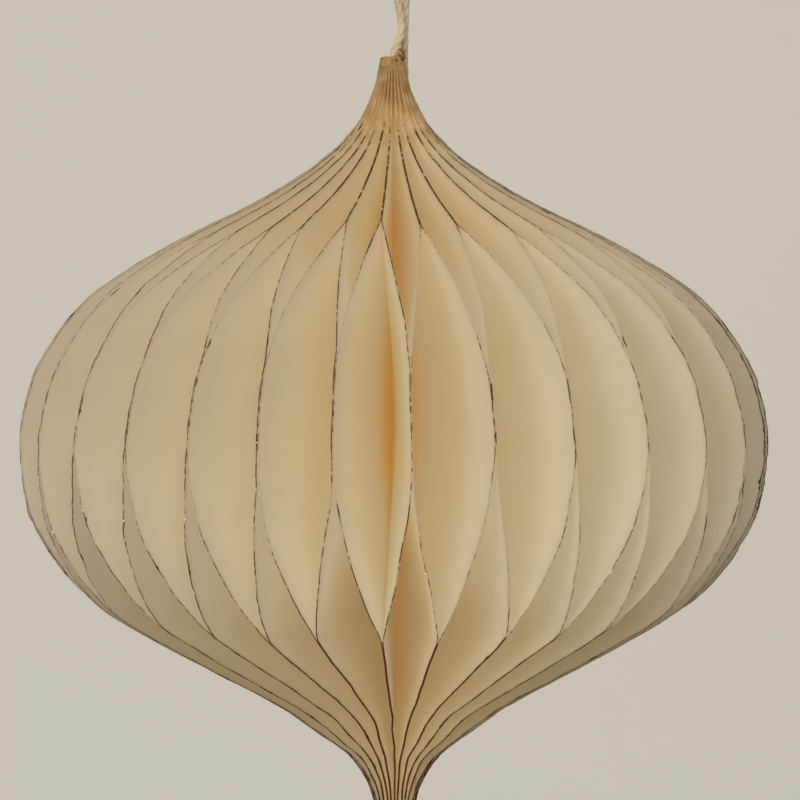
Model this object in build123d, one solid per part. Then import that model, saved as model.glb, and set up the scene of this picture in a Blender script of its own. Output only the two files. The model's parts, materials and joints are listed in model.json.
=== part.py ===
"""Paper teardrop ornament: stiff paper leaves fanned round a glued spine, hung on a cord.

Millimetres, +Z up.  The origin is the middle of the lower tip, on the spine.
The front, from which the ornament is usually seen, looks along -Y, with +X to the right.
Every leaf is flat-cut paper with one straight edge at the spine and one curved edge.
Two neighbours are glued along their curved edges above the upper joint and below the
lower joint.  At the belly each leaf is glued to its other neighbour instead, which opens
the fan into tall pointed cells.
"""

import math
import os
from build123d import *

# Counts
bundle_count = 3
pairs_in_bundle = 11
leaves_in_pair = 2
pair_count = bundle_count * pairs_in_bundle
leaf_count = pair_count * leaves_in_pair

# Paper and glue
paper_thickness = 0.25
glue_film = 0.01
spine_clearance = 0.02

# Leaf, as it lies flat: length of its straight edge and width across the belly
leaf_length = 213.0
leaf_width = 97.1
tip_width = 0.38

# Glued joints, as heights up the straight edge
upper_joint_height = 164.6
belly_glue_top = 131.5
belly_glue_bottom = 113.0
lower_joint_height = 68.7

# Handwork: how far a joint slips up or down, and how far the glue strips slip
joint_slip = 1.4
belly_slip = 3.0

# Handwork, in degrees: a pair leans to one side, cells stand closer in places,
# and below the lower joints the pairs gather toward the middle of their bundle
pair_lean = 2.0
spacing_wave = 1.9
gather_lean = 6.0
first_azimuth = 3.8
wave_azimuth = -43.8
gather_azimuth = 3.0
gather_height = 45.0

# Hanging cord: its route in x, y and height above the upper tip
cord_diameter = 2.2
bore_clearance = 0.4
bend_share = 0.45
cord_route = (
    (0.2, 0.1, -9.0),
    (0.3, 0.0, -4.4),
    (0.3, -0.1, 1.6),
    (2.7, -1.0, 6.2),
    (2.5, -1.1, 10.2),
    (1.4, -0.5, 15.0),
    (0.5, 0.0, 19.6),
    (-0.6, 0.0, 25.2),
    (2.4, 0.0, 27.4),
    (5.5, 0.1, 25.2),
    (4.3, 0.5, 19.6),
    (3.7, 1.2, 13.4),
    (3.4, 1.8, 7.0),
    (3.3, 3.0, 0.6),
    (3.4, 5.0, -5.0),
    (3.6, 6.9, -10.4),
)

# Dried glue on the outside of the upper tip
glue_thickness = 0.3
glue_clearance = 0.02
glue_height = 3.0
glue_start_azimuth = -58.0
glue_sweep = 52.0

# The curved edge: heights as shares of the leaf length, widths as shares of the
# belly width beyond the narrow tip
outline_shares = (
    (0.0, 0.0),
    (0.038, 0.019),
    (0.075, 0.043),
    (0.113, 0.096),
    (0.150, 0.199),
    (0.188, 0.312),
    (0.235, 0.488),
    (0.282, 0.664),
    (0.329, 0.817),
    (0.385, 0.918),
    (0.451, 0.984),
    (0.521, 1.0),
    (0.592, 0.970),
    (0.648, 0.905),
    (0.695, 0.819),
    (0.737, 0.689),
    (0.775, 0.541),
    (0.812, 0.375),
    (0.850, 0.233),
    (0.887, 0.126),
    (0.925, 0.056),
    (0.962, 0.019),
    (1.0, 0.0),
)

# Where each pair of a bundle strays from its even place, as shares of the handwork sizes
upper_lean_shares = (0.75, 0.05, 0.05, -0.55, 0.15, -0.2, -0.3, -1.0, 0.4, -0.35, 0.8)
lower_lean_shares = (-2.0, -0.2, 0.25, 0.6, -0.05, 0.35, -0.2, 0.1, -0.65, -1.25, 0.6)
upper_slip_shares = (0.2, -0.4, 0.1, -0.2, 0.9, 0.9, -0.3, 0.4, -0.9, 0.0, -1.0)
lower_slip_shares = (-0.2, -0.1, -0.4, -0.6, 0.6, 0.4, 0.4, 0.7, -0.2, -0.9, 0.1)
belly_top_shares = (3.0, 0.5, 0.6, 0.8, 0.4, 1.1, 0.0, -1.1, -0.6, 0.0, 0.9)
belly_bottom_shares = (0.7, 0.8, 0.9, 0.5, 0.3, -0.4, -0.5, 1.3, 0.5, 1.1, 0.0)

# Stations where the curved edge bends, as shares of each stretch between joints
upper_stretch_shares = (0.16, 0.33, 0.50, 0.66, 0.83)
opening_stretch_shares = (0.10, 0.30, 0.62)
closing_stretch_shares = (0.24, 0.5, 0.76)
lower_stretch_shares = (0.20, 0.36, 0.50, 0.62, 0.75, 0.88)
belly_middle_share = 0.5

# Derived sizes
spine_radius = leaf_count * (paper_thickness + glue_film) / math.tau
binding_radius = spine_radius - spine_clearance
bore_radius = cord_diameter / 2 + bore_clearance
half_paper = paper_thickness / 2
full_turn = 360.0
pair_pitch = full_turn / pair_count
leaf_pitch = full_turn / leaf_count
half_share = 0.5
quarter_share = 0.25
third_harmonic = 3
lens_power = 1.7


def outline_slopes():
    """Slopes of a smooth curve through the outline shares that never overshoots."""
    steps = []
    for low, high in zip(outline_shares, outline_shares[1:]):
        run = high[0] - low[0]
        steps.append((run, (high[1] - low[1]) / run))
    slopes = [steps[0][1]]
    for before, after in zip(steps, steps[1:]):
        if before[1] * after[1] <= 0:
            slopes.append(0.0)
        else:
            near = 2 * after[0] + before[0]
            far = after[0] + 2 * before[0]
            slopes.append((near + far) / (near / before[1] + far / after[1]))
    slopes.append(steps[-1][1])
    return slopes


slopes = outline_slopes()


def width_at(height):
    """Distance from the straight edge to the curved edge at a height."""
    place = min(max(height / leaf_length, 0.0), 1.0)
    index = 0
    while index < len(outline_shares) - 2 and place > outline_shares[index + 1][0]:
        index += 1
    low = outline_shares[index]
    high = outline_shares[index + 1]
    run = high[0] - low[0]
    t = (place - low[0]) / run
    start = (1 + 2 * t) * (1 - t) ** 2 * low[1] + t * (1 - t) ** 2 * run * slopes[index]
    end = t * t * (3 - 2 * t) * high[1] + t * t * (t - 1) * run * slopes[index + 1]
    return tip_width + (leaf_width - tip_width) * (start + end)


def wave(azimuth):
    """Cells stand a little closer and wider apart three times round."""
    return spacing_wave * math.cos(math.radians(third_harmonic * (azimuth - wave_azimuth)))


def line_azimuth(place):
    """Azimuth of a belly line (whole places) or of a pair (half places)."""
    even = first_azimuth + pair_pitch * place
    return even + wave(even)


def gathered(azimuth, height, joint):
    """Azimuth of a glued pair below its lower joint."""
    fall = min((joint - height) / (joint - gather_height), 1.0)
    turn = third_harmonic * (azimuth - gather_azimuth)
    return azimuth - gather_lean * fall * math.sin(math.radians(turn))


def leaf_course(pair, side):
    """Heights up one leaf with the direction in which the paper leaves the spine."""
    mate = pair % pairs_in_bundle
    belly = (pair + (1 if side > 0 else 0)) % pairs_in_bundle
    place = pair - pairs_in_bundle * half_share
    middle = line_azimuth(place)
    upper = middle + pair_lean * upper_lean_shares[mate]
    lower = middle + pair_lean * lower_lean_shares[mate]
    glued = line_azimuth(place + side * half_share)
    top = upper_joint_height + joint_slip * upper_slip_shares[mate]
    bottom = lower_joint_height + joint_slip * lower_slip_shares[mate]
    belly_top = belly_glue_top + belly_slip * belly_top_shares[belly]
    belly_bottom = belly_glue_bottom + belly_slip * belly_bottom_shares[belly]

    course = [(leaf_length, upper), (leaf_length - glue_height, upper)]
    for share in reversed(upper_stretch_shares):
        course.append((top + (leaf_length - top) * share, upper))
    course.append((top, upper))
    for share in opening_stretch_shares:
        opened = half_share * (math.sqrt(share) + 1 - (1 - share) ** 2)
        height = top + (belly_top - top) * share
        course.append((height, upper + (glued - upper) * opened))
    course.append((belly_top, glued))
    course.append((belly_bottom + (belly_top - belly_bottom) * belly_middle_share, glued))
    course.append((belly_bottom, glued))
    for share in closing_stretch_shares:
        opened = 1 - share ** lens_power
        height = belly_bottom + (bottom - belly_bottom) * share
        course.append((height, lower + (glued - lower) * opened))
    course.append((bottom, lower))
    for share in lower_stretch_shares:
        height = bottom * (1 - share)
        course.append((height, gathered(lower, height, bottom)))
    course.append((0.0, gathered(lower, 0.0, bottom)))
    return course


def flat_face(points):
    """A flat face through its corners."""
    return Face(Wire.make_polygon(points, close=True))


def leaf_solid(pair, side):
    """One paper leaf as a thin solid with flat facets."""
    leaf = pair * leaves_in_pair + (1 if side > 0 else 0)
    even = first_azimuth - pair_pitch * (pairs_in_bundle * half_share + quarter_share)
    root = math.radians(even + leaf_pitch * leaf)
    root_x = spine_radius * math.sin(root)
    root_y = -spine_radius * math.cos(root)
    rows = []
    for height, azimuth in leaf_course(pair, side):
        angle = math.radians(azimuth)
        out = (math.sin(angle), -math.cos(angle))
        across = (math.cos(angle), math.sin(angle))
        width = width_at(height)
        corners = []
        for reach, shift in ((0.0, -1), (width, -1), (width, 1), (0.0, 1)):
            x = root_x + out[0] * reach + across[0] * half_paper * shift
            y = root_y + out[1] * reach + across[1] * half_paper * shift
            corners.append((x, y, height))
        rows.append((azimuth, corners))

    faces = [flat_face(rows[0][1]), flat_face(rows[-1][1])]
    first = 0
    while first < len(rows) - 1:
        last = first + 1
        flat = rows[last][0] == rows[first][0]
        while flat and last + 1 < len(rows) and rows[last + 1][0] == rows[first][0]:
            last += 1
        upper = rows[first][1]
        lower = rows[last][1]
        for inner, outer in ((0, 1), (3, 2)):
            if flat:
                rim = [rows[index][1][outer] for index in range(first, last + 1)]
                faces.append(flat_face([upper[inner]] + rim + [lower[inner]]))
            else:
                faces.append(flat_face([upper[inner], upper[outer], lower[outer]]))
                faces.append(flat_face([upper[inner], lower[outer], lower[inner]]))
        if flat:
            faces.append(flat_face([upper[0], upper[3], lower[3], lower[0]]))
        else:
            faces.append(flat_face([upper[0], upper[3], lower[3]]))
            faces.append(flat_face([upper[0], lower[3], lower[0]]))
        for index in range(first, last):
            above = rows[index][1]
            below = rows[index + 1][1]
            if flat:
                faces.append(flat_face([above[1], above[2], below[2], below[1]]))
            else:
                faces.append(flat_face([above[1], above[2], below[2]]))
                faces.append(flat_face([above[1], below[2], below[1]]))
        first = last
    return Solid(Shell(faces))


def leaf_pair(pair):
    """Two leaves that share their upper and lower glue lines."""
    return Compound(children=[leaf_solid(pair, -1), leaf_solid(pair, 1)])


def binding():
    """The glued core that holds the straight edges, open along its middle."""
    with BuildPart() as core:
        with BuildSketch(Plane.XY):
            Circle(binding_radius)
            Circle(bore_radius, mode=Mode.SUBTRACT)
        extrude(amount=leaf_length)
    return core.part


def glue_patch():
    """A thin skin of dried glue over the leaf edges on one side of the upper tip."""
    bottom = leaf_length - glue_height
    inner_top = spine_radius + width_at(leaf_length) + glue_clearance
    inner_bottom = spine_radius + width_at(bottom) + glue_clearance
    with BuildPart() as patch:
        with BuildSketch(Plane.XZ):
            with BuildLine():
                Polyline(
                    (inner_top, leaf_length),
                    (inner_top + glue_thickness, leaf_length),
                    (inner_bottom + glue_thickness, bottom),
                    (inner_bottom, bottom),
                    close=True,
                )
            make_face()
        revolve(axis=Axis.Z, revolution_arc=glue_sweep)
    first_edge = glue_start_azimuth - full_turn * quarter_share
    return Rot(0, 0, first_edge) * patch.part


def cord_radii(points):
    """The largest even bend that the two runs at each corner allow."""
    radii = []
    for before, here, after in zip(points, points[1:], points[2:]):
        turn = math.radians((here - before).get_angle(after - here))
        run = min((here - before).length, (after - here).length)
        radii.append(run * bend_share / math.tan(turn * half_share))
    return radii


def hanging_cord():
    """The hanging loop, from inside the binding up, round and down behind the neck."""
    points = [Vector(x, y, leaf_length + rise) for x, y, rise in cord_route]
    radii = cord_radii(points)
    print("cord bend radii", [round(radius, 1) for radius in radii])
    with BuildPart() as cord:
        with BuildLine() as route:
            FilletPolyline(*points, radius=radii)
        with BuildSketch(Plane(route.wire() @ 0, z_dir=route.wire() % 0)):
            Circle(cord_diameter / 2)
        sweep()
    length = route.wire().length
    section = math.pi * (cord_diameter / 2) ** 2
    print("cord length", round(length, 2), "tube share", round(cord.part.volume / (section * length), 4))
    return cord.part


os.makedirs("parts", exist_ok=True)
for pair in range(pair_count):
    export_step(leaf_pair(pair), f"parts/leaf_pair_{pair + 1:02d}.step")
export_step(binding(), "parts/binding.step")
export_step(glue_patch(), "parts/glue_patch.step")
export_step(hanging_cord(), "parts/hanging_cord.step")
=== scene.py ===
import json
import math
import random

import bpy
import numpy as np
from mathutils import Matrix, Vector

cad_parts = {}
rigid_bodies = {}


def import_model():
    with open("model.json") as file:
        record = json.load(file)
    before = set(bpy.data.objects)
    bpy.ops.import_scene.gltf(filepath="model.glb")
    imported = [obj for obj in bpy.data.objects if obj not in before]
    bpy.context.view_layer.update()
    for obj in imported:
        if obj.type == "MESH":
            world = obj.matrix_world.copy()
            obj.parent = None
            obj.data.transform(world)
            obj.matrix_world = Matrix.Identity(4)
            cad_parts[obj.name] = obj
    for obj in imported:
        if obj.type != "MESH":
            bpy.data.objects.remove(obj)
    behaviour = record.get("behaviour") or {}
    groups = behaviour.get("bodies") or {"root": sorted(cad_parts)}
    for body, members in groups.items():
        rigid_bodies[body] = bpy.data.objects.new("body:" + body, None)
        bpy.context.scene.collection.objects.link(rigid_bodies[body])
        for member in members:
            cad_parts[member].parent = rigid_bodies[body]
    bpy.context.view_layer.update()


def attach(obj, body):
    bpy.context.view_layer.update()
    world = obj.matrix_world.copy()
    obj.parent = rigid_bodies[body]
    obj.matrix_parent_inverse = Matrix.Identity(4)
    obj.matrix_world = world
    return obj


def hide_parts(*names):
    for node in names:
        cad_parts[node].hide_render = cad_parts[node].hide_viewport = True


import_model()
MM = 0.001


# Camera

SENSOR_MM = 36.0
LENS_MM = 83.1
CAMERA_PLACE = (0.0, -0.5, 0.1423)
CAMERA_AIM = (0.003575, 1.0, -0.04269)
CAMERA_ROLL = -0.2


def make_camera():
    """Eye level a little above the belly, close to the ornament, as in the photograph."""
    data = bpy.data.cameras.new("camera")
    data.sensor_width = SENSOR_MM
    data.lens = LENS_MM
    camera = bpy.data.objects.new("camera", data)
    bpy.context.scene.collection.objects.link(camera)
    roll = Matrix.Rotation(math.radians(CAMERA_ROLL), 4, "Z")
    turn = Vector(CAMERA_AIM).normalized().to_track_quat("-Z", "Y").to_matrix().to_4x4()
    camera.matrix_world = Matrix.Translation(CAMERA_PLACE) @ turn @ roll
    bpy.context.scene.camera = camera


# Small helpers

def mesh_object(name, points, faces, smooth=True):
    """A mesh object from points in metres and faces."""
    mesh = bpy.data.meshes.new(name)
    mesh.from_pydata([tuple(p) for p in points], [], faces)
    mesh.validate()
    if smooth:
        mesh.shade_smooth()
    piece = bpy.data.objects.new(name, mesh)
    bpy.context.scene.collection.objects.link(piece)
    return piece


def set_values(mesh, name, values):
    """Stores one number for each point of a mesh."""
    attribute = mesh.attributes.new(name, "FLOAT", "POINT")
    attribute.data.foreach_set("value", np.asarray(values, dtype=np.float32))


class Nodes:
    """Builds a material's nodes in short lines."""

    def __init__(self, name):
        self.material = bpy.data.materials.new(name)
        self.material.use_nodes = True
        self.tree = self.material.node_tree
        self.tree.nodes.clear()
        self.out = self.tree.nodes.new("ShaderNodeOutputMaterial")

    def add(self, kind, inputs=None, **settings):
        node = self.tree.nodes.new("ShaderNode" + kind)
        for key, value in settings.items():
            setattr(node, key, value)
        for key, value in (inputs or {}).items():
            self.give(node.inputs[key], value)
        return node

    def give(self, socket, value):
        if isinstance(value, bpy.types.NodeSocket):
            self.tree.links.new(value, socket)
        elif isinstance(value, (tuple, list)) and len(value) == 3 and socket.type == "RGBA":
            socket.default_value = (*value, 1.0)
        else:
            socket.default_value = value

    def value(self, name):
        return self.add("Attribute", attribute_name=name).outputs["Fac"]

    def noise(self, scale, detail=3.0, rough=0.55, vector=None, distortion=0.0):
        inputs = {"Scale": scale, "Detail": detail, "Roughness": rough, "Distortion": distortion}
        if vector is not None:
            inputs["Vector"] = vector
        return self.add("TexNoise", inputs).outputs["Fac"]

    def math(self, operation, a, b=0.0, clamp=False):
        node = self.add("Math", operation=operation, use_clamp=clamp)
        self.give(node.inputs[0], a)
        self.give(node.inputs[1], b)
        return node.outputs[0]

    def ramp(self, value, low, high, to_low=0.0, to_high=1.0):
        inputs = {
            "Value": value, "From Min": low, "From Max": high,
            "To Min": to_low, "To Max": to_high,
        }
        return self.add("MapRange", inputs, interpolation_type="SMOOTHSTEP").outputs["Result"]

    def mix(self, share, a, b, blend="MIX"):
        node = self.add("Mix", data_type="RGBA", blend_type=blend, clamp_factor=True)
        self.give(node.inputs["Factor"], share)
        self.give(node.inputs[6], a)
        self.give(node.inputs[7], b)
        return node.outputs[2]

    def bump(self, height, strength, distance):
        inputs = {"Height": height, "Strength": strength, "Distance": distance}
        return self.add("Bump", inputs).outputs["Normal"]


def srgb(code):
    """A colour written as six hexadecimal figures, as the shader needs it."""
    parts = [int(code[i:i + 2], 16) / 255 for i in (0, 2, 4)]
    return tuple(c / 12.92 if c <= 0.04045 else ((c + 0.055) / 1.055) ** 2.4 for c in parts)


# Materials

SEE_THROUGH = 0.62


def paper_material():
    """Stiff cream paper with scorched cut edges and stained at the tips, with a painted warm glow
    deep in the folds near the spine.
    """
    n = Nodes("leaf_paper")
    place = n.add("TexCoord").outputs["Object"]
    rim = n.value("rim_mm")
    char = n.value("char")
    depth = n.value("depth_mm")
    stain = n.value("stain")
    mate_shade = n.value("mate_shade")
    outer_face_shade = n.value("outer_face_shade")
    cloud = n.noise(28.0, 1.0, 0.5, place)
    fibre = n.noise(900.0, 1.0, 0.7, place)
    grain = n.noise(2600.0, 0.0, 0.6, place)
    base = n.mix(cloud, srgb("faf5e2"), srgb("f8f1d9"))
    base = n.mix(n.ramp(fibre, 0.35, 0.75, 0.0, 0.3), base, srgb("fbf5e5"))
    base = n.mix(n.ramp(grain, 0.60, 0.78, 0.0, 0.12), base, srgb("e8d6ac"))
    # Painted light: warmer, deeper yellow towards the spine, standing for light bounced between and
    # passed through the leaves in the folds.
    base = n.mix(n.ramp(depth, 5.0, 92.0, 1.0, 0.0), base, srgb("ffecba"))
    base = n.mix(n.ramp(depth, 2.0, 40.0, 0.9, 0.0), base, srgb("ffda8e"))
    # Painted shade: darker where the two mates lie together, most below the deepest point of the
    # fold.
    base = n.mix(mate_shade, base, srgb("f0e2c0"))
    # Painted shade: greyer and darker on the outer faces of a pair, most below the belly where less
    # light reaches.
    base = n.mix(outer_face_shade, base, srgb("dcd6c6"))
    blotch = n.ramp(n.noise(240.0, 1.0, 0.65, place), 0.32, 0.68)
    soaked = n.math("MULTIPLY", stain, n.math("ADD", n.math("MULTIPLY", blotch, 0.6), 0.4))
    base = n.mix(soaked, base, n.mix(blotch, srgb("e8ca86"), srgb("c09a52")))
    gap = n.math("MULTIPLY", n.ramp(stain, 0.6, 1.1, 0.0, 0.6), n.ramp(rim, 0.05, 0.6))
    base = n.mix(gap, base, srgb("8e6a32"))
    toasted = n.ramp(rim, 0.0, 0.45, 0.35, 0.0)
    base = n.mix(toasted, base, srgb("d8b87c"))
    patch = n.noise(620.0, 1.0, 0.6, place)
    here = n.ramp(n.math("ADD", patch, n.math("MULTIPLY", char, 0.6)), 0.50, 0.74)
    ragged = n.noise(900.0, 1.0, 0.75, place)
    reach = n.math("MULTIPLY", n.math("ADD", n.math("MULTIPLY", ragged, 0.6), -0.16), char)
    line = n.ramp(n.math("SUBTRACT", rim, reach), -0.02, 0.07, 1.0, 0.0)
    burnt = n.math("MULTIPLY", n.math("MULTIPLY", line, here), n.ramp(char, 0.05, 0.2))
    dark = n.mix(n.noise(700.0, 0.0, 0.5, place), srgb("8f6440"), srgb("583a26"))
    colour = n.mix(burnt, base, dark)
    # The light passed through the paper gets the same painted warm glow deep in the folds.
    inner = n.mix(n.ramp(depth, 2.0, 42.0, 1.0, 0.0), srgb("fffef8"), srgb("ffedbc"))
    # Painted shade on the light passed through, where the two mates lie together.
    inner = n.mix(mate_shade, inner, srgb("efe6ce"))
    # The same painted shade on the light passed through the outer faces.
    inner = n.mix(outer_face_shade, inner, srgb("f1ede3"))
    inner = n.mix(soaked, inner, srgb("ecca8a"))
    inner = n.mix(gap, inner, srgb("a87c44"))
    inner = n.mix(burnt, n.mix(toasted, inner, srgb("d8bc84")), dark)
    rough = n.ramp(burnt, 0.0, 1.0, 0.86, 0.95)
    normal = n.bump(n.noise(1300.0, 0.0, 0.5, place), 0.2, 0.0001)
    shader = n.add("BsdfPrincipled", {
        "Base Color": colour, "Roughness": rough, "Normal": normal, "Specular IOR Level": 0.2,
    })
    through = n.add("BsdfTranslucent", {"Color": inner})
    both = n.add("MixShader", {"Fac": SEE_THROUGH, 1: shader.outputs[0], 2: through.outputs[0]})
    n.give(n.out.inputs["Surface"], both.outputs[0])
    return n.material


def binding_material():
    """Pale brown dried glue in the core between the straight edges."""
    n = Nodes("binding_glue")
    place = n.add("TexCoord").outputs["Object"]
    blot = n.noise(350.0, 4.0, 0.6, place)
    colour = n.mix(blot, srgb("e6c486"), srgb("f7e6bf"))
    shader = n.add("BsdfPrincipled", {
        "Base Color": colour, "Roughness": n.ramp(blot, 0.3, 0.7, 0.55, 0.8),
        "Normal": n.bump(blot, 0.5, 0.0003),
    })
    n.give(n.out.inputs["Surface"], shader.outputs[0])
    return n.material


def glue_material():
    """A skin of dried amber glue over scorched paper."""
    n = Nodes("dried_glue")
    place = n.add("TexCoord").outputs["Object"]
    blot = n.noise(700.0, 3.0, 0.6, place)
    rim = n.value("rim_mm")
    colour = n.mix(n.ramp(blot, 0.35, 0.7), srgb("b48a4e"), srgb("c69c60"))
    colour = n.mix(n.ramp(rim, 0.0, 0.5, 0.6, 0.0), colour, srgb("6a4218"))
    shader = n.add("BsdfPrincipled", {
        "Base Color": colour, "Roughness": n.ramp(blot, 0.3, 0.7, 0.35, 0.6),
        "Normal": n.bump(blot, 0.3, 0.0002),
    })
    n.give(n.out.inputs["Surface"], shader.outputs[0])
    return n.material


def bead_material():
    """Dried glue in beads: pale and glossy, or burnt to crumbs."""
    n = Nodes("glue_beads")
    place = n.add("TexCoord").outputs["Object"]
    blot = n.noise(1500.0, 3.0, 0.6, place)
    tone = n.value("tone")
    pale = n.mix(blot, srgb("f7ecd0"), srgb("fff8e6"))
    burnt = n.mix(blot, srgb("3a2412"), srgb("8a5e30"))
    amber = n.mix(blot, srgb("a8824c"), srgb("c6a468"))
    low = n.mix(n.math("MULTIPLY", tone, 2.0, clamp=True), burnt, amber)
    high = n.math("SUBTRACT", n.math("MULTIPLY", tone, 2.0), 1.0, clamp=True)
    shader = n.add("BsdfPrincipled", {
        "Base Color": n.mix(high, low, pale), "Roughness": n.ramp(tone, 0.0, 1.0, 0.7, 0.3),
        "Normal": n.bump(blot, 0.4, 0.0002),
    })
    n.give(n.out.inputs["Surface"], shader.outputs[0])
    return n.material


def cord_material():
    """Twisted cream yarn, with painted shade in the grooves between the plies."""
    n = Nodes("cord_yarn")
    place = n.add("TexCoord").outputs["Object"]
    around = n.value("around")
    fuzz = n.noise(1800.0, 3.0, 0.7, place)
    stain = n.noise(160.0, 2.0, 0.5, place)
    colour = n.mix(fuzz, srgb("dacda4"), srgb("f8efd2"))
    colour = n.mix(n.ramp(stain, 0.45, 0.75, 0.0, 0.5), colour, srgb("b99c72"))
    # Painted shade: darker towards the cord's middle line, in the grooves where the plies meet.
    colour = n.mix(n.ramp(around, 0.0, 1.0, 0.0, 0.35), colour, srgb("a98e66"))
    shader = n.add("BsdfPrincipled", {
        "Base Color": colour, "Roughness": 0.85, "Sheen Weight": 0.3,
        "Normal": n.bump(fuzz, 0.5, 0.0002),
    })
    n.give(n.out.inputs["Surface"], shader.outputs[0])
    return n.material


def stage_material():
    """Pale paint: a little lighter where it is seen than in the light that it throws back."""
    n = Nodes("stage_paint")
    path = n.add("LightPath")
    seen = n.math("ADD", path.outputs["Is Camera Ray"], path.outputs["Is Glossy Ray"], clamp=True)
    seen = n.math("ADD", seen, path.outputs["Is Transmission Ray"], clamp=True)
    seen = n.math("SUBTRACT", seen, path.outputs["Is Diffuse Ray"], clamp=True)
    colour = n.mix(seen, srgb("c9c5bc"), srgb("f1f2e8"))
    shader = n.add("BsdfPrincipled", {
        "Base Color": colour, "Roughness": 0.9, "Emission Color": (0.97, 1.0, 0.91),
        "Emission Strength": n.math("MULTIPLY", seen, 0.21),
    })
    n.give(n.out.inputs["Surface"], shader.outputs[0])
    return n.material


# Leaves: the same sizes as the solids, with smooth curves in place of flat facets

LENGTH = 213.0
WIDTH = 97.1
TIP_WIDTH = 0.38
PAPER = 0.25
GLUE_FILM = 0.01
PAIRS = 33
MATES = 11
SPINE = PAIRS * 2 * (PAPER + GLUE_FILM) / math.tau
FIRST_AZIMUTH = 3.8
PITCH = 360.0 / PAIRS
UPPER_JOINT = 164.6
BELLY_TOP = 131.5
BELLY_BOTTOM = 113.0
LOWER_JOINT = 68.7

OUTLINE = (
    (0.0, 0.0), (0.038, 0.019), (0.075, 0.043), (0.113, 0.096), (0.150, 0.199), (0.188, 0.312),
    (0.235, 0.488), (0.282, 0.664), (0.329, 0.817), (0.385, 0.918), (0.451, 0.984), (0.521, 1.0),
    (0.592, 0.970), (0.648, 0.905), (0.695, 0.819), (0.737, 0.689), (0.775, 0.541), (0.812, 0.375),
    (0.850, 0.233), (0.887, 0.126), (0.925, 0.056), (0.962, 0.019), (1.0, 0.0),
)
UPPER_LEAN = (1.5, 0.1, 0.1, -1.1, 0.3, -0.4, -0.6, -2.0, 0.8, -0.7, 1.6)
LOWER_LEAN = (-4.0, -0.4, 0.5, 1.2, -0.1, 0.7, -0.4, 0.2, -1.3, -2.5, 1.2)
UPPER_SLIP = (0.28, -0.56, 0.14, -0.28, 1.26, 1.26, -0.42, 0.56, -1.26, 0.0, -1.4)
LOWER_SLIP = (-0.28, -0.14, -0.56, -0.84, 0.84, 0.56, 0.56, 0.98, -0.28, -1.26, 0.14)
TOP_SLIP = (9.0, 1.5, 1.8, 2.4, 1.2, 3.3, 0.0, -3.3, -1.8, 0.0, 2.7)
BOTTOM_SLIP = (2.1, 2.4, 2.7, 1.5, 0.9, -1.2, -1.5, 3.9, 1.5, 3.3, 0.0)


def smooth_curve(points, places):
    """A smooth curve through points that never overshoots, read at an array of places."""
    x = np.array([p[0] for p in points])
    y = np.array([p[1] for p in points])
    h = np.diff(x)
    d = np.diff(y) / h
    m = np.zeros_like(y)
    for i in range(1, len(x) - 1):
        if d[i - 1] * d[i] > 0:
            near = 2 * h[i] + h[i - 1]
            far = h[i] + 2 * h[i - 1]
            m[i] = (near + far) / (near / d[i - 1] + far / d[i])
    m[0] = d[0]
    m[-1] = d[-1]
    i = np.clip(np.searchsorted(x, places) - 1, 0, len(x) - 2)
    t = (places - x[i]) / h[i]
    start = y[i] * (1 + 2 * t) * (1 - t) ** 2 + h[i] * m[i] * t * (1 - t) ** 2
    return start + y[i + 1] * t * t * (3 - 2 * t) + h[i] * m[i + 1] * t * t * (t - 1)


def width_at(height):
    share = smooth_curve(OUTLINE, np.clip(height / LENGTH, 0.0, 1.0))
    return TIP_WIDTH + (WIDTH - TIP_WIDTH) * share


def line_azimuth(place):
    even = FIRST_AZIMUTH + PITCH * place
    return even + 1.9 * math.cos(math.radians(3 * (even + 43.8)))


def wobble(seed, places, longest, shortest, count=7):
    """A smooth random line of about unit size: waves from longest to shortest, in mm."""
    rng = random.Random(seed)
    total = np.zeros_like(places)
    for i in range(count):
        wave = longest * (shortest / longest) ** (i / (count - 1))
        size = (wave / longest) ** 0.6
        total += size * np.sin(math.tau * places / wave + rng.uniform(0, math.tau))
    return total / 1.6


def leaf_rows():
    """Heights of a leaf's rows, closer together where the outline is steep."""
    fine = np.linspace(0.0, LENGTH, 2131)
    width = width_at(fine)
    along = np.concatenate(([0.0], np.cumsum(np.hypot(np.diff(fine), np.diff(width)))))
    return np.interp(np.linspace(0.0, along[-1], 191), along, fine)


ROWS = leaf_rows()
COLUMNS = np.array([0.0, 0.08, 0.17, 0.27, 0.37, 0.47, 0.57, 0.67, 0.76, 0.84, 0.91, 0.965, 1.0])
FINE = np.linspace(0.0, LENGTH, 427)
SOFTNESS = 0.7 + 6.0 * (1 - COLUMNS)
DEEPEST = 117.0
# Leaves narrower than this get less of the painted warm glow in the folds.
FOLD_GLOW_DEPTH = 48.0
GATHER_LEAN = 6.0
GATHER_AZIMUTH = 3.0
GATHER_HEIGHT = 38.0
CREASE_LOW, CREASE_HIGH = 6.0, 58.0
VALUE_NAMES = ("rim_mm", "char", "depth_mm", "stain", "mate_shade", "outer_face_shade")
EDGES = {}


def softened(values, reach):
    """The same line with its corners rounded over a reach in mm. It keeps neighbours in order."""
    step = FINE[1] - FINE[0]
    count = int(3 * reach / step) + 1
    weights = np.exp(-0.5 * (np.arange(-count, count + 1) * step / reach) ** 2)
    padded = np.pad(values, count, mode="edge")
    return np.convolve(padded, weights / weights.sum(), mode="valid")


def parting(share, crease):
    """How far a leaf has left its mate at a share of its width: not before the crease."""
    def hinge(t):
        return 0.5 * (t + np.sqrt(t * t + 0.005))
    start = hinge(-crease)
    gone = (hinge(share - crease) - start) / (hinge(1.0 - crease) - start)
    return gone / max(share, 0.02)


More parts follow.
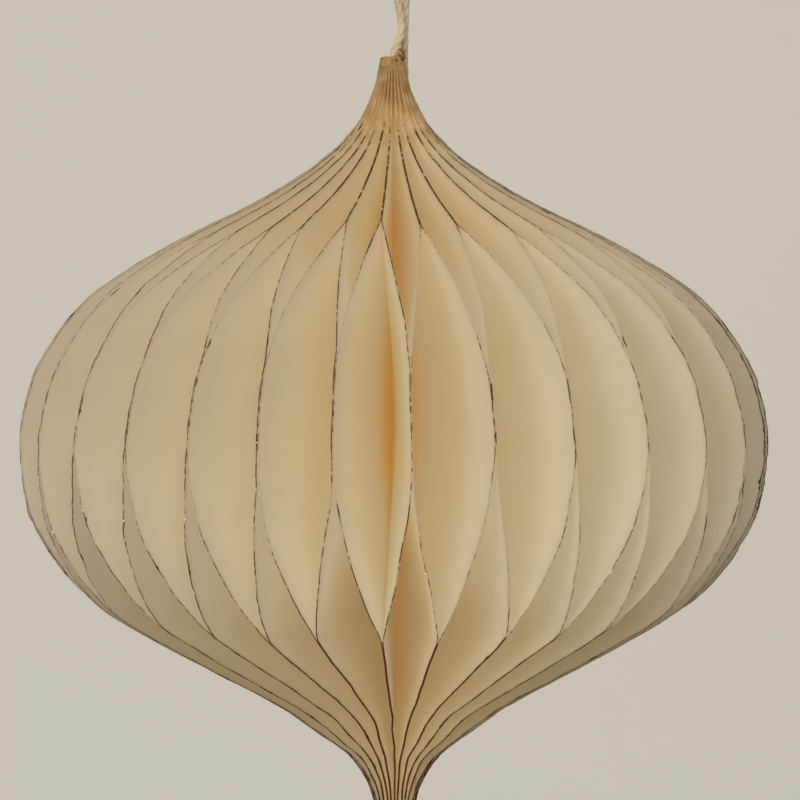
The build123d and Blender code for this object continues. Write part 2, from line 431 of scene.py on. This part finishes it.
def leaf_lines(pair, side):
    """For each row of a leaf: its direction from the spine, its width, and its small bends.

    The two mates lie flat together from the spine to a crease. It is deepest in the belly and
    runs out to the edge at both joints, so the open cell between them is shaped like a boat.
    """
    mate = pair % MATES
    belly = (pair + (1 if side > 0 else 0)) % MATES
    place = pair - MATES * 0.5
    middle = line_azimuth(place)
    upper = middle + UPPER_LEAN[mate]
    lower = middle + LOWER_LEAN[mate]
    glued = line_azimuth(place + side * 0.5)
    top = UPPER_JOINT + UPPER_SLIP[mate]
    bottom = LOWER_JOINT + LOWER_SLIP[mate]
    strip_top = BELLY_TOP + TOP_SLIP[belly]
    strip_bottom = BELLY_BOTTOM + BOTTOM_SLIP[belly]

    z = FINE
    opening = np.clip((top - z) / (top - strip_top), 0.0, 1.0)
    closing = np.clip((strip_bottom - z) / (strip_bottom - bottom), 0.0, 1.0)
    opened = 0.5 * (np.sqrt(opening) + 1 - (1 - opening) ** 2)
    still_open = 1 - closing ** 1.7
    azimuth = np.where(
        z >= strip_bottom,
        upper + (glued - upper) * opened,
        lower + (glued - lower) * still_open,
    )
    fall = np.clip((bottom - z) / (bottom - GATHER_HEIGHT), 0.0, 1.0)
    gather = GATHER_LEAN * fall * np.sin(np.radians(3 * (lower - GATHER_AZIMUTH)))
    blend = np.clip((z - bottom) / (top - bottom), 0.0, 1.0)
    centre = lower + (upper - lower) * blend * blend * (3 - 2 * blend)
    above = np.clip((z - DEEPEST) / (top - DEEPEST), 0.0, 1.0)
    below = np.clip((DEEPEST - z) / (DEEPEST - bottom), 0.0, 1.0)
    crease = above ** 1.8 + below ** 1.7
    directions = []
    for share, reach in zip(COLUMNS, SOFTNESS):
        line = centre + (azimuth - centre) * parting(share, crease) - gather
        directions.append(np.interp(ROWS, z, softened(line, reach)))

    width = width_at(ROWS)
    pair_share = np.where(z >= strip_bottom, 1 - opening, np.clip(closing, 0.0, 1.0))
    line_share = np.minimum(opening, np.where(z < strip_bottom, 1 - closing, 1.0))
    line = (pair + (1 if side > 0 else 0)) % PAIRS
    bend = 0.10 * pair_share * wobble(1000 + pair, z, 40.0, 9.0)
    bend += 0.12 * line_share * wobble(2000 + line, z, 60.0, 12.0)
    own = 4 * pair_share * line_share
    bend += 0.16 * own * wobble(3000 + 2 * pair + (side > 0), z, 70.0, 14.0)
    return directions, width, np.interp(ROWS, z, bend), np.interp(ROWS, z, crease)


def creases(pair):
    """Small sharp bends, in mm, that the two mates share where they gather below the joint."""
    rng = random.Random(8000 + pair)
    spots, jogs = [CREASE_LOW], [0.0]
    while spots[-1] < CREASE_HIGH:
        spots.append(spots[-1] + rng.uniform(3.5, 8.0))
        jogs.append(rng.uniform(-0.38, 0.38))
    spots.append(69.0)
    jogs.append(0.0)
    return np.interp(ROWS, spots, jogs)


def scorch(leaf, width):
    """How strongly each row of a leaf's edge is burnt, most below the joints, and its knots."""
    pair = leaf // 2
    top = UPPER_JOINT + UPPER_SLIP[pair % MATES]
    bottom = LOWER_JOINT + LOWER_SLIP[pair % MATES]
    z = ROWS
    even = np.interp(z, (bottom - 3, bottom + 3, 105, 115, 130, 140, top - 3, top + 3),
                     (0.82, 0.40, 0.35, 0.60, 0.60, 0.35, 0.40, 0.50))
    even = even + 0.16 * wobble(5000 + leaf, z, 60.0, 4.0)
    rng = random.Random(6000 + pair)
    knots = np.zeros_like(z)
    for _ in range(rng.randint(2, 5)):
        place = rng.choice((rng.uniform(18.0, 60.0), rng.uniform(30.0, 195.0)))
        knots += rng.uniform(1.4, 3.4) * np.exp(-((z - place) / rng.uniform(0.5, 1.1)) ** 2)
    clean = np.interp(z, (4.0, 10.0, 182.0, 196.0), (0.3, 1.0, 1.0, 0.1))
    clean = clean * np.clip(width / 5.0, 0.4, 1.0)
    return np.clip(even, 0.0, 3.2) * clean, np.clip(knots, 0.0, 3.4) * clean


def soot(shift, azimuth):
    """The share of the scorch on a face: the flame left some leaves and one face cleaner."""
    turn = (azimuth + 95.0) % 360.0 - 95.0
    around = np.interp(turn, (-95.0, -2.0, 8.0, 35.0, 60.0, 70.0, 90.0, 110.0, 265.0),
                       (1.0, 1.0, 0.45, 0.6, 0.8, 2.3, 2.3, 0.8, 1.0))
    if shift > 0:
        return around
    return around * (0.5 + 0.5 * np.clip((turn - 55.0) / 14.0, 0.0, 1.0))


def neck_stain(leaf, side):
    """How brown each row of a leaf is, at both tips: on its edges, and in the gaps behind them."""
    streak = 0.7 if side < 0 else random.Random(7500 + leaf).uniform(0.1, 0.6)
    edges = np.interp(ROWS, (186.0, 202.0, 209.0), (0.0, 0.35, 0.8)) * streak
    edges = np.maximum(edges, np.clip((ROWS - 206.0) / 7.0, 0.0, 0.75))
    edges = edges + np.clip((5.0 - ROWS) / 7.0, 0.0, 0.4)
    gaps = np.interp(ROWS, (186.0, 199.0, 206.0), (0.0, 0.75, 1.1))
    return edges, np.maximum(edges, gaps)


def outer_face_shading(shift, side):
    """How much painted shade each row of a face gets: only the outer faces of a pair, most below
    the belly.
    """
    if shift * side < 0:
        return np.zeros_like(ROWS)
    low, high = (0.75, 0.5) if shift > 0 else (0.25, 0.6)
    strip = BELLY_TOP - 8.0
    levels = (0.2 * low, low, low, high, high, 0.0)
    return np.interp(ROWS, (14.0, 44.0, strip - 6.0, strip, 184.0, 196.0), levels)


def leaf_mesh(pair, side, points, faces, sharp, values):
    """Adds one leaf to the lists of a pair's mesh, with its numbers for the paper's material."""
    leaf = 2 * pair + (1 if side > 0 else 0)
    root = math.radians(FIRST_AZIMUTH - PITCH * (MATES * 0.5 + 0.25) + PITCH * 0.5 * leaf)
    directions, width, bend, crease = leaf_lines(pair, side)
    ragged = 0.10 * wobble(4000 + leaf, ROWS, 9.0, 2.4)
    fade = np.clip(np.minimum(ROWS, LENGTH - ROWS) / 12.0, 0.0, 1.0)
    edge = width + ragged * fade
    EDGES[leaf] = (directions[-1], edge)
    first = len(points)
    rows = len(ROWS)
    columns = len(COLUMNS)
    strength, knots = scorch(leaf, width)
    if side < 0:
        strength = strength * np.interp(ROWS, (88.0, 104.0, 150.0, 165.0), (1.0, 0.3, 0.3, 1.0))
    # Strength of the painted shade where the mates lie together: full below the deepest point of
    # the fold, weak above.
    glued = np.where(ROWS < DEEPEST, 1.0, 0.15)
    edge_stain, gap_stain = neck_stain(leaf, side)
    paired = (ROWS < LOWER_JOINT) | (ROWS > UPPER_JOINT)
    fold = np.clip(edge / WIDTH, 0.0, 1.0)
    jog = creases(pair) * np.clip(edge / 12.0, 0.0, 1.0)
    for shift in (-1, 1):
        outer = shift * side > 0
        sooty = soot(shift, directions[-1])
        sooty = np.where(paired, np.maximum(sooty, 0.85), sooty)
        for share, azimuth in zip(COLUMNS, directions):
            angle = np.radians(azimuth)
            reach = edge * share
            across = shift * PAPER / 2 + (bend * fold + jog) * share ** 2
            x = SPINE * math.sin(root) + np.sin(angle) * reach + np.cos(angle) * across
            y = -SPINE * math.cos(root) - np.cos(angle) * reach + np.sin(angle) * across
            points.extend(zip(x * MM, y * MM, ROWS * MM))
            touching = np.clip((crease - share) / 0.5, 0.0, 1.0) * glued
            values["rim_mm"].extend(edge - reach)
            values["char"].extend(strength * sooty + knots * np.clip(sooty, 0.7, 1.0))
            # Distance from the spine, for the painted warm glow in the folds; larger where the leaf
            # is narrow, so the tips get little of it.
            values["depth_mm"].extend(reach + np.clip(FOLD_GLOW_DEPTH - edge, 0.0, None))
            values["stain"].extend(gap_stain if outer else edge_stain)
            # Painted shade only on the inner faces, where the two mates lie together.
            values["mate_shade"].extend(0 * touching if outer else touching)
            # Painted shade on the outer faces of a pair.
            values["outer_face_shade"].extend(outer_face_shading(shift, side))
    side_size = rows * columns

    def at(face, column, row):
        return first + face * side_size + column * rows + row

    def add_face(*corners):
        faces.append(tuple(at(*corner) for corner in corners))

    last, end = columns - 1, rows - 1
    for row in range(rows - 1):
        up = row + 1
        for column in range(columns - 1):
            out = column + 1
            add_face((0, column, row), (0, out, row), (0, out, up), (0, column, up))
            add_face((1, column, row), (1, column, up), (1, out, up), (1, out, row))
        add_face((0, last, row), (1, last, row), (1, last, up), (0, last, up))
        add_face((0, 0, row), (0, 0, up), (1, 0, up), (1, 0, row))
        for face in (0, 1):
            sharp.append((at(face, last, row), at(face, last, up)))
            sharp.append((at(face, 0, row), at(face, 0, up)))
    for column in range(columns - 1):
        out = column + 1
        add_face((0, column, 0), (1, column, 0), (1, out, 0), (0, out, 0))
        add_face((0, column, end), (0, out, end), (1, out, end), (1, column, end))
        for face in (0, 1):
            sharp.append((at(face, column, 0), at(face, out, 0)))
            sharp.append((at(face, column, end), at(face, out, end)))


def mark_sharp(mesh, sharp):
    """Marks the edges where the paper's two faces meet its cut edge."""
    wanted = {tuple(sorted(pair)) for pair in sharp}
    flags = [tuple(sorted(edge.vertices)) in wanted for edge in mesh.edges]
    attribute = mesh.attributes.new("sharp_edge", "BOOLEAN", "EDGE")
    attribute.data.foreach_set("value", flags)


def make_leaves(material):
    """One mesh for each glued pair of leaves."""
    for pair in range(PAIRS):
        points, faces, sharp = [], [], []
        values = {name: [] for name in VALUE_NAMES}
        for side in (-1, 1):
            leaf_mesh(pair, side, points, faces, sharp, values)
        piece = mesh_object(f"leaves_{pair + 1:02d}", points, faces)
        mark_sharp(piece.data, sharp)
        for name, numbers in values.items():
            set_values(piece.data, name, numbers)
        piece.data.materials.append(material)
        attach(piece, "root")
        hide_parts(f"leaf_pair_{pair + 1:02d}")


# Hanging cord

CORD = 2.2 * MM
CORD_STEP = 0.22 * MM
TWIST_LENGTH = 8.4 * MM
CORD_ROUTE = (
    (0.2, 0.1, -9.0), (0.3, 0.0, -4.4), (0.3, -0.1, 1.6), (2.7, -1.0, 6.2),
    (2.5, -1.1, 10.2), (1.6, -0.6, 15.0), (0.8, 0.0, 19.6), (-0.6, 0.0, 25.2),
    (2.4, 0.0, 27.4), (5.5, 0.1, 25.2), (4.0, 0.5, 19.6), (3.6, 1.2, 13.4),
    (3.4, 1.8, 7.0), (3.3, 3.0, 0.6), (3.4, 5.0, -5.0), (3.6, 6.9, -10.4),
)


def cord_line():
    """The cord's middle line, read from a smooth spline with the route as its control points."""
    curve = bpy.data.curves.new("cord_route", "CURVE")
    curve.dimensions = "3D"
    curve.resolution_u = 24
    spline = curve.splines.new("NURBS")
    spline.points.add(len(CORD_ROUTE) - 1)
    for point, (x, y, rise) in zip(spline.points, CORD_ROUTE):
        point.co = (x * MM, y * MM, (LENGTH + rise) * MM, 1.0)
    spline.order_u = 3
    spline.use_endpoint_u = True
    holder = bpy.data.objects.new("cord_route", curve)
    bpy.context.scene.collection.objects.link(holder)
    bpy.context.view_layer.update()
    shape = bpy.data.meshes.new_from_object(holder)
    line = [v.co.copy() for v in shape.vertices]
    bpy.data.meshes.remove(shape)
    bpy.data.objects.remove(holder)
    bpy.data.curves.remove(curve)
    return line


def even_points(line, step):
    """The same line with points an even step apart."""
    coords = np.array([tuple(p) for p in line])
    keep = np.concatenate(([True], np.linalg.norm(np.diff(coords, axis=0), axis=1) > 1e-9))
    coords = coords[keep]
    along = np.concatenate(([0.0], np.cumsum(np.linalg.norm(np.diff(coords, axis=0), axis=1))))
    places = np.linspace(0.0, along[-1], max(2, int(round(along[-1] / step)) + 1))
    return np.stack([np.interp(places, along, coords[:, i]) for i in range(3)], axis=1), along[-1]


def frames_along(points):
    """Two directions across the line at each point, carried along without twist."""
    tangents = np.gradient(points, axis=0)
    tangents /= np.linalg.norm(tangents, axis=1)[:, None]
    side = np.cross(tangents[0], (0.0, 1.0, 0.0))
    side /= np.linalg.norm(side)
    sides = []
    for tangent in tangents:
        side = side - tangent * np.dot(side, tangent)
        side /= np.linalg.norm(side)
        sides.append(side)
    sides = np.array(sides)
    return sides, np.cross(tangents, sides)


def make_cord(material):
    """Three plies twisted round each other along the route."""
    line, length = even_points(cord_line(), CORD_STEP)
    u, v = frames_along(line)
    along = np.linspace(0.0, length, len(line))
    plies = 3
    ring = 10
    twist = math.tau / TWIST_LENGTH
    thick = CORD * 0.325
    offset = CORD * 0.5 - thick * 1.03
    points, faces, around = [], [], []
    for ply in range(plies):
        phase = along * twist + math.tau * ply / plies
        centre = line + (u * np.cos(phase)[:, None] + v * np.sin(phase)[:, None]) * offset
        pu, pv = frames_along(centre)
        swell = 1 + 0.04 * np.sin(along / (1.1 * MM) + ply)
        start = len(points)
        for i in range(len(line)):
            for k in range(ring):
                a = math.tau * k / ring
                out = pu[i] * math.cos(a) + pv[i] * math.sin(a)
                p = centre[i] + out * thick * swell[i]
                points.append(p)
                # How near a point lies to the cord's middle line, for the painted shade in the
                # grooves.
                radial = np.linalg.norm(p - line[i]) / (CORD * 0.5)
                around.append(1.0 - min(radial, 1.0))
        for i in range(len(line) - 1):
            for k in range(ring):
                a = start + i * ring + k
                b = start + i * ring + (k + 1) % ring
                faces.append((a, b, b + ring, a + ring))
        faces.append(tuple(start + k for k in reversed(range(ring))))
        end = start + (len(line) - 1) * ring
        faces.append(tuple(end + k for k in range(ring)))
    piece = mesh_object("cord", points, faces)
    set_values(piece.data, "around", around)
    piece.data.materials.append(material)
    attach(piece, "root")
    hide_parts("hanging_cord")


# Dried glue

# Crumbs where the cord goes in, in mm: x, y, height, size, and tone from burnt to pale
CRUMBS = (
    (2.5, -2.0, 212.6, 0.62, 0.0), (1.0, -2.9, 211.9, 0.55, 0.05),
    (2.1, -2.3, 211.0, 0.42, 0.0), (0.6, -3.0, 211.0, 0.40, 0.9),
    (-2.7, -1.4, 212.6, 0.42, 0.1), (-3.0, -1.7, 209.8, 0.34, 0.9),
    (1.7, -1.8, 213.3, 0.60, 0.25), (2.9, -0.8, 212.9, 0.50, 0.1),
    (0.8, -1.7, 213.2, 0.45, 0.4), (2.3, -0.3, 213.9, 1.00, 0.50),
    (1.6, 0.1, 213.4, 0.90, 0.60), (3.0, 0.2, 214.9, 0.75, 0.55),
    (2.6, -0.9, 215.0, 0.40, 0.25), (2.9, -1.0, 214.2, 0.35, 0.10),
    (2.0, -0.2, 215.9, 0.85, 0.70), (2.4, -0.1, 217.0, 0.60, 0.75),
    (-0.6, 2.4, 212.9, 0.55, 0.3), (-1.9, 1.6, 213.0, 0.45, 0.6),
    (2.4, 1.2, 213.1, 0.50, 0.2),
)
GLUE_HEIGHT = 3.0
GLUE_START = -58.0
GLUE_SWEEP = 52.0


def add_lump(points, faces, place, size, seed):
    """A small uneven bead of glue, sizes in mm."""
    rng = random.Random(seed)
    rings, around = 6, 10
    stretch = [size * rng.uniform(0.75, 1.25) for _ in range(3)]
    phase = [rng.uniform(0, math.tau) for _ in range(3)]
    first = len(points)
    for i in range(rings + 1):
        tilt = math.pi * i / rings
        for k in range(around if 0 < i < rings else 1):
            turn = math.tau * k / around
            way = (math.sin(tilt) * math.cos(turn), math.sin(tilt) * math.sin(turn), math.cos(tilt))
            swell = 1 + 0.16 * math.sin(3 * turn + phase[0]) * math.sin(tilt)
            swell += 0.12 * math.sin(5 * tilt + 2 * turn + phase[1])
            points.append(tuple((place[a] + way[a] * stretch[a] * swell) * MM for a in range(3)))
    for k in range(around):
        after = (k + 1) % around
        faces.append((first, first + 1 + k, first + 1 + after))
        for i in range(rings - 2):
            low = first + 1 + i * around
            faces.append((low + k, low + around + k, low + around + after, low + after))
        low = first + 1 + (rings - 2) * around
        faces.append((low + k, low + around, low + after))


def make_beads(material):
    """Pale beads of glue along the glued belly edges, and dark crumbs where the cord goes in."""
    points, faces, tones = [], [], []
    for leaf, (azimuth, width) in sorted(EDGES.items()):
        rng = random.Random(7000 + leaf)
        for _ in range(rng.choice((0, 0, 1, 2, 3, 4))):
            z = rng.gauss(99.0, 9.0) if rng.random() < 0.8 else rng.uniform(70.0, 160.0)
            angle = math.radians(float(np.interp(z, ROWS, azimuth)))
            reach = float(np.interp(z, ROWS, width)) + 0.05 + SPINE
            place = (reach * math.sin(angle), -reach * math.cos(angle), z)
            add_lump(points, faces, place, rng.uniform(0.16, 0.30), leaf * 10 + int(z))
            tones.extend([1.0] * (len(points) - len(tones)))
    for number, (x, y, z, size, tone) in enumerate(CRUMBS):
        add_lump(points, faces, (x, y, z), size, 900 + number)
        tones.extend([tone] * (len(points) - len(tones)))
    piece = mesh_object("glue_beads", points, faces)
    set_values(piece.data, "tone", tones)
    piece.data.materials.append(material)
    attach(piece, "root")


def make_glue(material):
    """A thin uneven skin over the leaf edges, thickest in its middle."""
    rows, columns = 24, 40
    low, high = LENGTH - GLUE_HEIGHT, LENGTH
    points, faces, rims = [], [], []
    for layer in (0, 1):
        for i in range(rows):
            t = i / (rows - 1)
            for k in range(columns):
                s = k / (columns - 1)
                azimuth = math.radians(GLUE_START + GLUE_SWEEP * s)
                dip = 0.35 * math.sin(s * 9.0 + 1.0) + 0.2 * math.sin(s * 23.0)
                z = low + max(dip, 0.0) * (1 - t) + (high - low - max(dip, 0.0) * (1 - t)) * t
                edge = min(s * 3.0, (1 - s) * 3.0 + 0.4, t * 3.0 + 0.02)
                round_off = max(math.sin(math.pi * s), 0.0) ** 0.5
                crown = 0.03 + 0.26 * round_off * min(1.0, 3 * t + 0.1)
                inner = SPINE + float(width_at(np.array(z))) + 0.02
                r = inner + (crown if layer else 0.0)
                points.append((r * math.sin(azimuth) * MM, -r * math.cos(azimuth) * MM, z * MM))
                rims.append(max(edge, 0.0))
    layer_size = rows * columns
    for i in range(rows - 1):
        for k in range(columns - 1):
            a = i * columns + k
            quad = (a, a + 1, a + 1 + columns, a + columns)
            faces.append(tuple(layer_size + q for q in quad))
            faces.append(tuple(reversed(quad)))
    border = list(range(columns))
    border += [i * columns + columns - 1 for i in range(1, rows)]
    border += [(rows - 1) * columns + k for k in reversed(range(columns - 1))]
    border += [i * columns for i in reversed(range(1, rows - 1))]
    for a, b in zip(border, border[1:] + border[:1]):
        faces.append((a, b, b + layer_size, a + layer_size))
    piece = mesh_object("glue_skin", points, faces)
    set_values(piece.data, "rim_mm", rims)
    piece.data.materials.append(material)
    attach(piece, "root")
    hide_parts("glue_patch")


# Stage and light

def make_stage():
    """A pale floor, well below the hanging ornament, that curves up into a backdrop."""
    floor, bend, curve_start = -0.75, 0.6, 0.9
    profile = [(y, floor) for y in np.linspace(-3.0, curve_start, 14)]
    for a in np.linspace(0, math.pi / 2, 16)[1:]:
        profile.append((curve_start + bend * math.sin(a), floor + bend - bend * math.cos(a)))
    for z in np.linspace(floor + bend, 3.0, 10)[1:]:
        profile.append((curve_start + bend, z))
    points, faces = [], []
    for x in (-4.0, 4.0):
        points.extend((x, y, z) for y, z in profile)
    count = len(profile)
    for i in range(count - 1):
        faces.append((i, i + count, i + count + 1, i + 1))
    stage = mesh_object("stage_backdrop", points, faces)
    stage.data.materials.append(stage_material())


LIT_POINT = (0.0, 0.0, 0.1)


def area_light(name, place, size, power, colour, shadow=True):
    """A square soft lamp, in metres and watts, turned to the ornament."""
    data = bpy.data.lights.new(name, "AREA")
    data.use_shadow = shadow
    data.shape = "RECTANGLE"
    data.size = data.size_y = size
    data.energy = power
    data.color = colour
    light = bpy.data.objects.new(name, data)
    light.location = place
    light.rotation_euler = (Vector(LIT_POINT) - Vector(place)).to_track_quat("-Z", "Y").to_euler()
    bpy.context.scene.collection.objects.link(light)


def make_lamps():
    """Two soft lamps in front, and a weak one without shadows on each side to lift the folds."""
    area_light("high", (0.0, -1.5, 1.2), 1.0, 12.5, (1.0, 0.90, 0.83))
    area_light("left", (-0.9, -1.6, 0.5), 0.8, 8.9, (1.0, 0.87, 0.845))
    area_light("fill", (1.75, -0.4, 0.3), 0.8, 3.3, (1.0, 0.77, 0.52), False)
    area_light("fill_left", (-1.75, -0.4, 0.3), 0.8, 2.4, (1.0, 0.92, 0.74), False)


def make_world():
    """Dim even light, and a pale tone where the camera looks past the backdrop."""
    world = bpy.data.worlds.new("world")
    bpy.context.scene.world = world
    world.use_nodes = True
    tree = world.node_tree
    background = tree.nodes["Background"]
    background.inputs["Color"].default_value = (1.0, 0.98, 0.95, 1.0)
    background.inputs["Strength"].default_value = 0.15
    behind = tree.nodes.new("ShaderNodeBackground")
    behind.inputs["Color"].default_value = (1.0, 0.98, 0.85, 1.0)
    behind.inputs["Strength"].default_value = 0.57
    path = tree.nodes.new("ShaderNodeLightPath")
    sees = path.outputs["Is Camera Ray"]
    for name in ("Is Glossy Ray", "Is Transmission Ray"):
        both = tree.nodes.new("ShaderNodeMath")
        both.operation = "ADD"
        both.use_clamp = True
        tree.links.new(sees, both.inputs[0])
        tree.links.new(path.outputs[name], both.inputs[1])
        sees = both.outputs[0]
    less = tree.nodes.new("ShaderNodeMath")
    less.operation = "SUBTRACT"
    less.use_clamp = True
    tree.links.new(sees, less.inputs[0])
    tree.links.new(path.outputs["Is Diffuse Ray"], less.inputs[1])
    choice = tree.nodes.new("ShaderNodeMixShader")
    tree.links.new(less.outputs[0], choice.inputs[0])
    tree.links.new(background.outputs[0], choice.inputs[1])
    tree.links.new(behind.outputs[0], choice.inputs[2])
    tree.links.new(choice.outputs[0], tree.nodes["World Output"].inputs["Surface"])


def dress_binding(material):
    """The binding keeps its own solid and gets the material of old glue."""
    for piece in bpy.data.objects:
        if piece.name == "binding":
            for slot in piece.material_slots:
                slot.material = material


make_camera()
make_cord(cord_material())
make_leaves(paper_material())
make_glue(glue_material())
make_beads(bead_material())
dress_binding(binding_material())
make_stage()
make_lamps()
make_world()
bpy.context.scene.view_settings.view_transform = "Standard"
bpy.context.scene.cycles.max_bounces = 6
bpy.context.scene.cycles.diffuse_bounces = 4
bpy.context.scene.cycles.transmission_bounces = 6
